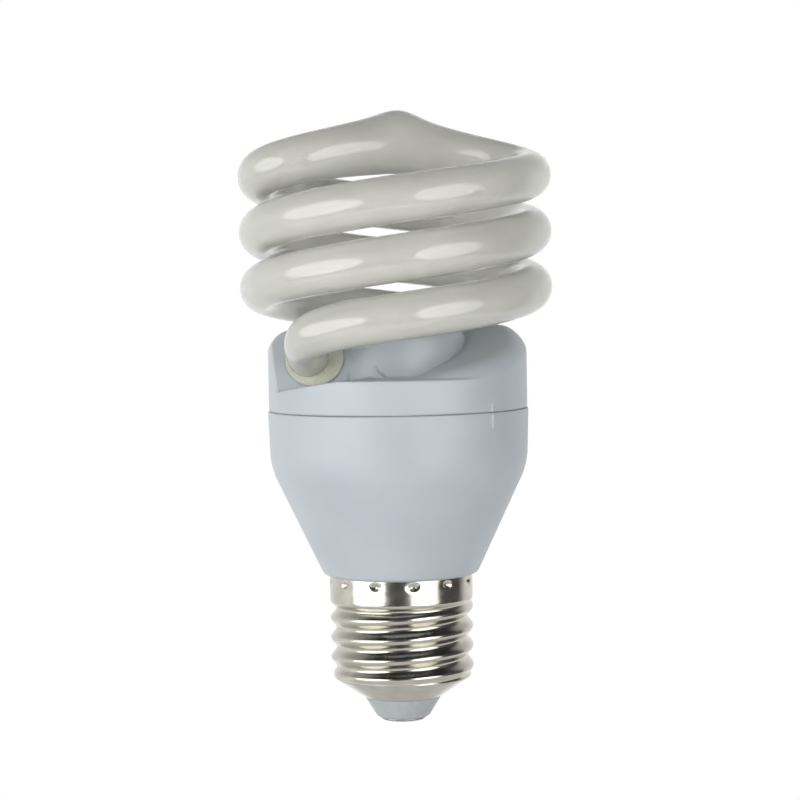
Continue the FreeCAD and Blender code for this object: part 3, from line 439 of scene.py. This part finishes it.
def onCoil(angle):
    s = tubeSizes
    return Vector((s["coilRadius"] * math.cos(angle), s["coilRadius"] * math.sin(angle),
                   s["base"] + s["lead"] * angle / (2 * math.pi)))


def alongCoil(angle):
    slope = tubeSizes["lead"] / (2 * math.pi * tubeSizes["coilRadius"])
    return Vector((-math.sin(angle), math.cos(angle), slope)).normalized()


# one strand from its end in the case to the crown, as rows of
# (point in mm, share of the narrow neck, share of the swollen crown, lift of the upper side)
def strandRows():
    s = tubeSizes
    leave, end = math.radians(s["leave"]), math.radians(s["end"])
    entry = mouthFrame(0)
    seal = entry @ neckShift / mm
    outward = entry.to_3x3() @ up
    low, high = seal + outward * s["straight"], onCoil(leave)
    lowPull, highPull = s["bendPull"]
    rows = [(seal - outward * s["inside"], 1, 0, 0), (seal, 1, 0, 0)]
    bend = cubicPoints((low, low + outward * lowPull, high - alongCoil(leave) * highPull, high),
                       s["bendSteps"])
    for step, point in enumerate(bend):  # the narrow neck widens along the bend
        rows.append((point, 1 - easeInOut(step / s["bendSteps"]), 0, 0))
    count = round((s["end"] - s["leave"]) / s["coilStep"])
    rows += [(onCoil(leave + (end - leave) * step / count), 0, 0, 0) for step in range(1, count)]
    start, heading = onCoil(end), end + math.radians(s["crownHeading"])
    crown = Vector((0, 0, start.z + s["crownRise"]))
    down = Vector((math.cos(heading), math.sin(heading), -s["crownSlope"]))
    startPull, crownPull = s["armPull"]
    arm = cubicPoints((start, start + alongCoil(end) * startPull, crown + down * crownPull, crown),
                      s["armSteps"])
    for point in arm:  # bent smoothly under the crown and more tightly over it, up to a small tip
        reach, rim = point.xy.length, s["coilRadius"]
        under, over = (s["crownSlope"] * (math.hypot(reach, bow) - reach - math.hypot(rim, bow) + rim)
                       for bow in s["crownBend"])
        swell = math.exp(-(reach / s["crownWidth"]) ** 2)
        tip = s["tipPeak"] * math.exp(-(reach / s["tipWidth"]) ** 2)
        lift = s["crownPeak"] * swell ** 2 + tip + under - over
        rows.append((point - Vector((0, 0, under)), 0, swell, lift))
    return rows


def makeTube():
    s = tubeSizes
    rows = strandRows()
    for point, *shares in reversed(rows[:-1]):
        rows.append((Vector((-point.x, -point.y, point.z)), *shares))
    curve = bpy.data.curves.new("tube_line", "CURVE")
    curve.dimensions = "3D"
    curve.bevel_depth = s["radius"] * mm
    curve.bevel_resolution = s["roundness"]
    curve.use_fill_caps = True
    spline = curve.splines.new("POLY")
    spline.points.add(len(rows) - 1)
    for point, (where, neck, crown, _) in zip(spline.points, rows):
        point.co = (where * mm).to_4d()
        point.radius = 1 + (crown * s["crownSwell"] - neck * (s["radius"] - s["neckRadius"])) / s["radius"]
    holder = bpy.data.objects.new("tube_line", curve)
    bpy.context.scene.collection.objects.link(holder)
    bm = bmesh.new()
    bm.from_mesh(bpy.data.meshes.new_from_object(holder))
    bpy.data.objects.remove(holder)
    around = len(bm.verts) // len(rows)
    for index, vert in enumerate(bm.verts):  # draw the top of the crown up to its point
        where, _, crown, lift = rows[min(index // around, len(rows) - 1)]
        lean = (vert.co.z / mm - where.z) / (s["radius"] + s["crownSwell"] * crown)
        vert.co.z += lift * mm * ((1 + min(1, max(-1, lean))) / 2) ** 2
    finishPiece("glass_spiral", bm, "coated_glass", ["spiral_tube"])


# cement seals: each a disc with the tube's neck through it, off its middle
sealSizes = {"inner": 3.72, "outer": 5.28, "proud": 0.6, "length": 1.8, "slack": 0.1, "steps": 72,
             "rounds": [(2, 0.25, 4)]}
sealNames = ((0, "front_collar", "front_tube_seal"), (180, "rear_collar", "rear_tube_seal"))


def makeSeals():
    s = sealSizes
    inner, outer, low, high = s["inner"], s["outer"], s["proud"] - s["length"], s["proud"]
    outline = [(inner, low), (outer, low), (outer, high), (inner, high), (inner, low)]
    for turn, name, node in sealNames:
        bm = spinOutline(outline, s["steps"], s["rounds"])
        bore = [vert for vert in bm.verts if vert.co.xy.length < (inner + s["slack"]) * mm]
        bmesh.ops.translate(bm, verts=bore, vec=neckShift)
        bmesh.ops.transform(bm, matrix=mouthFrame(turn), verts=bm.verts)
        finishPiece(name, bm, "seal_cement", [node])


# tube holder: the case's cover, with a hub, two stalls for the tube ends and a sunk ramp before each
coverSizes = {"radius": 23.7, "seam": 57.3, "floor": 63.5, "seamRound": 0.3, "seamSegments": 4,
              "steps": 180, "hub": 12.2, "hubHeight": 8.2, "hubRound": 1.5, "hubSegments": 6, "dome": 2,
              "hubSteps": 120, "voxel": 0.22, "soften": 0.5, "smoothing": 6, "thin": 0.5}
stallSizes = {"reach": 6.6, "corner": 4, "offset": 17.3, "rise": 3.25, "lead": 33, "start": -84,
              "sweep": 130, "steps": 65, "segments": 12}
rampSizes = {"end": -116, "start": -173.8, "lead": 20.3, "margin": 1.3, "steps": 30}
seatSizes = {"radius": 5.2, "depth": 4, "shift": 0.6, "steps": 96}


def closeEnds(bm):
    bmesh.ops.remove_doubles(bm, verts=bm.verts, dist=weld)
    bmesh.ops.holes_fill(bm, edges=[edge for edge in bm.edges if edge.is_boundary], sides=0)
    bmesh.ops.recalc_face_normals(bm, faces=bm.faces)


def boxSection(bm, left, right, low, high):  # on the plane through the lamp's axis
    corners = ((left, low), (right, low), (right, high), (left, high))
    closedLoop(bm, [(radius * mm, 0, height * mm) for radius, height in corners])


def spinUp(bm, sizes):  # carry a section round the axis while it climbs, and close the two ends
    sweep, steps = sizes["sweep"], sizes["steps"]
    bmesh.ops.spin(bm, geom=bm.edges[:] + bm.verts[:], cent=(0, 0, 0), axis=up, angle=math.radians(sweep),
                   steps=steps, dvec=(0, 0, sizes["lead"] * mm * sweep / 360 / steps))
    closeEnds(bm)


def stallSolid(turn):
    s, floor, seam = stallSizes, coverSizes["floor"], coverSizes["seam"] + 2 * coverSizes["seamRound"]
    beforeMouth = mouthSizes["angle"] + 180 - s["start"]
    level = floor + s["rise"] - s["lead"] * beforeMouth / 360
    bm = bmesh.new()
    boxSection(bm, s["offset"] - s["reach"], s["offset"] + s["reach"], level - 2 * s["reach"],
               level + s["reach"])
    bm.verts.ensure_lookup_table()
    upperCorners = bm.verts[2:4]
    roundCorners(bm, upperCorners, "VERTICES", s["corner"], s["segments"])
    for vert in bm.verts:  # the outer wall stands on the cover's own
        vert.co.x = min(vert.co.x, coverSizes["radius"] * mm)
    spinUp(bm, s)
    turnAbout(bm, s["start"])
    mouth = mouthFrame(180)
    cuts = ((mouth.translation, mouth.to_3x3() @ up), (Vector((0, 0, seam * mm)), -up))
    for plane, out in cuts:
        bmesh.ops.bisect_plane(bm, geom=bm.verts[:] + bm.edges[:] + bm.faces[:], plane_co=plane,
                               plane_no=out, clear_outer=True)
        closeEnds(bm)
    turnAbout(bm, turn)
    return bm


def rampSolid(turn):
    s = rampSizes
    sweep = s["end"] - s["start"]
    level = coverSizes["floor"] - s["lead"] * sweep / 360
    bm = bmesh.new()
    boxSection(bm, coverSizes["hub"] - s["margin"], coverSizes["radius"] + s["margin"], level,
               level + 2 * stallSizes["reach"])
    spinUp(bm, {**s, "sweep": sweep})
    turnAbout(bm, s["start"] + turn)
    return bm


def seatSolid(turn):
    s = seatSizes
    bm = bmesh.new()
    bmesh.ops.create_cone(bm, cap_ends=True, segments=s["steps"], radius1=s["radius"] * mm,
                          radius2=s["radius"] * mm, depth=s["depth"] * mm)
    bmesh.ops.translate(bm, verts=bm.verts, vec=(0, 0, s["shift"] * mm))
    bmesh.ops.transform(bm, matrix=mouthFrame(turn), verts=bm.verts)
    return bm


# webs: a small slanting one with a hollow edge in each corner between the hub and the floor
webSizes = {"angle": -107, "skew": 60, "reach": 3.6, "rise": 2.2, "width": 0.9, "sunk": 1.5, "round": 0.18,
            "segments": 3, "steps": 10, "corner": 40}


def webSolid(turn):
    s, floor = webSizes, coverSizes["floor"]
    reach, rise, web = s["reach"], s["rise"], bmesh.new()
    bends = [math.pi / 2 * step / s["steps"] for step in range(s["steps"] + 1)]
    hollow = [(reach * (1 - math.cos(bend)), floor + rise * (1 - math.sin(bend))) for bend in bends]
    outline = [(-s["sunk"], floor - s["sunk"]), (-s["sunk"], floor + rise)] + hollow
    outline.append((reach, floor - s["sunk"]))
    edges = closedLoop(web, [(out * mm, -s["width"] / 2 * mm, height * mm) for out, height in outline])
    face = bmesh.ops.contextual_create(web, geom=edges)["faces"]
    pushed = bmesh.ops.extrude_face_region(web, geom=face)["geom"]
    bmesh.ops.translate(web, verts=[item for item in pushed if isinstance(item, bmesh.types.BMVert)],
                        vec=(0, s["width"] * mm, 0))
    bmesh.ops.recalc_face_normals(web, faces=web.faces)
    rims = [edge for edge in web.edges if edge.calc_face_angle(0) > math.radians(s["corner"])]
    roundCorners(web, rims, "EDGES", s["round"], s["segments"])
    turnAbout(web, s["skew"])
    bmesh.ops.translate(web, verts=web.verts, vec=(coverSizes["hub"] * mm, 0, 0))
    turnAbout(web, s["angle"] + turn)
    return web


def makeCover():
    s = coverSizes
    radius, seam, floor, hub = s["radius"], s["seam"], s["floor"], s["hub"]
    hubLow, hubTop = seam + 2 * s["seamRound"], floor + s["hubHeight"]

    def pair(name, solid):
        return [rawObject(f"{name}_{turn}", solid(turn)) for turn in (0, 180)]

    slab = spinOutline([(0, seam), (radius, seam), (radius, floor), (0, floor)], s["steps"],
                       [(1, s["seamRound"], s["seamSegments"])])
    base = rawObject("cover_base", slab)
    combine(base, pair("ramp", rampSolid), "DIFFERENCE")
    boss = spinOutline([(0, hubLow), (hub, hubLow), (hub, hubTop), (0, hubTop + s["dome"])], s["hubSteps"],
                       [(2, s["hubRound"], s["hubSegments"])])
    combine(base, [rawObject("hub", boss)] + pair("stall", stallSolid), "UNION")
    combine(base, pair("seat", seatSolid), "DIFFERENCE")
    remesh = base.modifiers.new("remesh", "REMESH")
    remesh.mode = "VOXEL"
    remesh.voxel_size = s["voxel"] * mm
    soften = base.modifiers.new("soften", "SMOOTH")
    soften.factor = s["soften"]
    soften.iterations = s["smoothing"]
    fewer = base.modifiers.new("fewer", "DECIMATE")
    fewer.ratio = s["thin"]
    bakeModifiers(base)
    mark = ribSolid(radius, seam + ribSizes["gap"], ribSizes["height"][1])
    combine(base, [rawObject("cover_mark", mark)] + pair("web", webSolid), "UNION")
    finishPiece("case_cover", takeMesh(base), "case_plastic", ["tube_holder"])


makeHousing()
makeShell()
makeInsulator()
makeContact()
makeTube()
makeSeals()
makeCover()


# floor: a round sheet of white paper below the lamp that keeps the lamp's soft shadow; its painted glow,
# seen by the camera and in reflections, is dimmer in the middle
floorSizes = {"radius": 420, "height": -160, "glow": 0.4, "rimGlow": 1.0, "dimShare": 0.5,
              "colour": "#d8d8d8", "steps": 128}


def makeFloor():
    s = floorSizes
    rim, middle = s["radius"] * mm, (0, 0, s["height"] * mm)
    bm = bmesh.new()
    bmesh.ops.create_circle(bm, cap_ends=True, segments=s["steps"], radius=rim)
    bmesh.ops.translate(bm, verts=bm.verts, vec=middle)
    floor = rawObject("floor", bm)
    material, tree, shader, place = startMaterial("studio_paper_and_painted_glow")
    tree.nodes.remove(shader)
    out = addNode(tree, "ShaderNodeVectorMath", {"operation": "DISTANCE"}, {0: place, 1: middle})
    # painted glow: dimmer in the middle under the lamp and full at the rim, seen by the camera, in
    # reflections and through glass
    white = spread(tree, out.outputs["Value"], s["glow"], s["rimGlow"], rim * s["dimShare"], rim)
    path = addNode(tree, "ShaderNodeLightPath").outputs
    seen = calculate(tree, "MAXIMUM", path["Is Camera Ray"], path["Is Glossy Ray"])
    seen = calculate(tree, "MAXIMUM", seen, path["Is Transmission Ray"])
    paper = addNode(tree, "ShaderNodeBsdfDiffuse", None, {"Color": linear(s["colour"])})
    glow = addNode(tree, "ShaderNodeEmission", None, {"Strength": calculate(tree, "MULTIPLY", seen, white)})
    both = addNode(tree, "ShaderNodeAddShader", None, {0: paper.outputs[0], 1: glow.outputs[0]})
    tree.links.new(both.outputs[0], tree.nodes["Material Output"].inputs["Surface"])
    floor.data.materials.append(material)


# studio: white sweep behind, dim room in front and overhead
worldLevels = {"seen": 1.0, "mirrored": 1.0, "back": 0.7, "front": 0.1, "backTurn": 17,
               "sweepRange": (0, 0.3), "overhead": 0.3, "shadeRange": (0.2, 0.8), "colour": "#ffffff"}


def makeWorld():
    s = worldLevels
    world = bpy.data.worlds.new("studio")
    bpy.context.scene.world = world
    world.use_nodes = True
    tree = world.node_tree
    tree.nodes.clear()
    way = addNode(tree, "ShaderNodeTexCoord").outputs["Generated"]
    path = addNode(tree, "ShaderNodeLightPath").outputs
    turn = math.radians(s["backTurn"])
    toBack = addNode(tree, "ShaderNodeVectorMath", {"operation": "DOT_PRODUCT"},
                     {0: way, 1: (-math.sin(turn), math.cos(turn), 0)}).outputs["Value"]
    back = addNode(tree, "ShaderNodeMix", {"data_type": "FLOAT"},
                   {0: path["Is Glossy Ray"], 2: s["back"], 3: s["mirrored"]}).outputs[0]
    sweep = spread(tree, toBack, s["front"], back, *s["sweepRange"])
    height = addNode(tree, "ShaderNodeSeparateXYZ", None, {"Vector": way}).outputs["Z"]
    shade = spread(tree, height, 1, s["overhead"], *s["shadeRange"])
    room = calculate(tree, "MULTIPLY", sweep, shade)
    seen = calculate(tree, "MAXIMUM", path["Is Camera Ray"], path["Is Transmission Ray"])
    level = addNode(tree, "ShaderNodeMix", {"data_type": "FLOAT"}, {0: seen, 2: room, 3: s["seen"]})
    white = addNode(tree, "ShaderNodeBackground", None,
                    {"Color": linear(s["colour"]), "Strength": level.outputs[0]})
    addNode(tree, "ShaderNodeOutputWorld", None, {"Surface": white.outputs[0]})


# softboxes: a broad one each side of the camera, whose cloth fades at its rim and is dimmer at its far side
softboxes = {
    "softbox_left": {"azimuth": -55, "height": 120, "width": 1200, "tall": 950, "power": 10.3, "far": 0.75},
    "softbox_right": {"azimuth": 39, "height": 120, "width": 900, "tall": 1100, "power": 8.6, "far": 0.6},
}
clothSizes = {"distance": 900, "aim": 60, "middle": (0.5, 0.5, 0), "edge": 0.5, "fade": 0.06}


def makeLights():
    c = clothSizes
    for name, s in softboxes.items():
        light = bpy.data.lights.new(name, "AREA")
        light.shape = "ELLIPSE"
        light.size = s["width"] * mm
        light.size_y = s["tall"] * mm
        light.energy = s["power"]
        light.use_nodes = True
        tree = light.node_tree
        cloth = addNode(tree, "ShaderNodeNewGeometry").outputs["Parametric"]
        out = addNode(tree, "ShaderNodeVectorMath", {"operation": "DISTANCE"}, {0: cloth, 1: c["middle"]})
        fall = spread(tree, out.outputs["Value"], 1, 0, c["edge"] - c["fade"], c["edge"])
        across = addNode(tree, "ShaderNodeSeparateXYZ", None, {"Vector": cloth}).outputs["X"]
        start, end = (s["far"], 1) if s["azimuth"] < 0 else (1, s["far"])
        cast = calculate(tree, "MULTIPLY", fall, spread(tree, across, start, end, 0, 1))
        tree.links.new(cast, tree.nodes["Emission"].inputs["Strength"])
        lamp = bpy.data.objects.new(name, light)
        turn, distance = math.radians(s["azimuth"]), c["distance"]
        lamp.location = Vector((distance * math.sin(turn), -distance * math.cos(turn), s["height"])) * mm
        aim = Vector((0, 0, c["aim"])) * mm - lamp.location
        lamp.rotation_euler = aim.to_track_quat("-Z", "Y").to_euler()
        bpy.context.scene.collection.objects.link(lamp)


# camera: level with the top turns and tipped a little down, as the photograph was taken
cameraSizes = {"distance": 412, "height": 81.0, "aim": 58.9, "across": 146.8, "roll": 1.0, "aside": 0.35,
               "sensor": 36, "nearest": 10}


def makeCamera():
    s = cameraSizes
    data = bpy.data.cameras.new("camera")
    data.sensor_width = s["sensor"]
    data.lens = s["sensor"] * s["distance"] / s["across"]
    data.clip_start = s["nearest"] * mm
    camera = bpy.data.objects.new("camera", data)
    camera.location = Vector((s["aside"], -s["distance"], s["height"])) * mm
    aim = Vector((s["aside"], 0, s["aim"])) * mm - camera.location
    roll = Matrix.Rotation(math.radians(-s["roll"]), 4, "Z")
    camera.rotation_euler = (aim.to_track_quat("-Z", "Y").to_matrix().to_4x4() @ roll).to_euler()
    bpy.context.scene.collection.objects.link(camera)
    bpy.context.scene.camera = camera


makeFloor()
makeWorld()
makeLights()
makeCamera()
bpy.context.scene.view_settings.view_transform = "Standard"
print("studio set, with", len(softboxes), "softboxes")
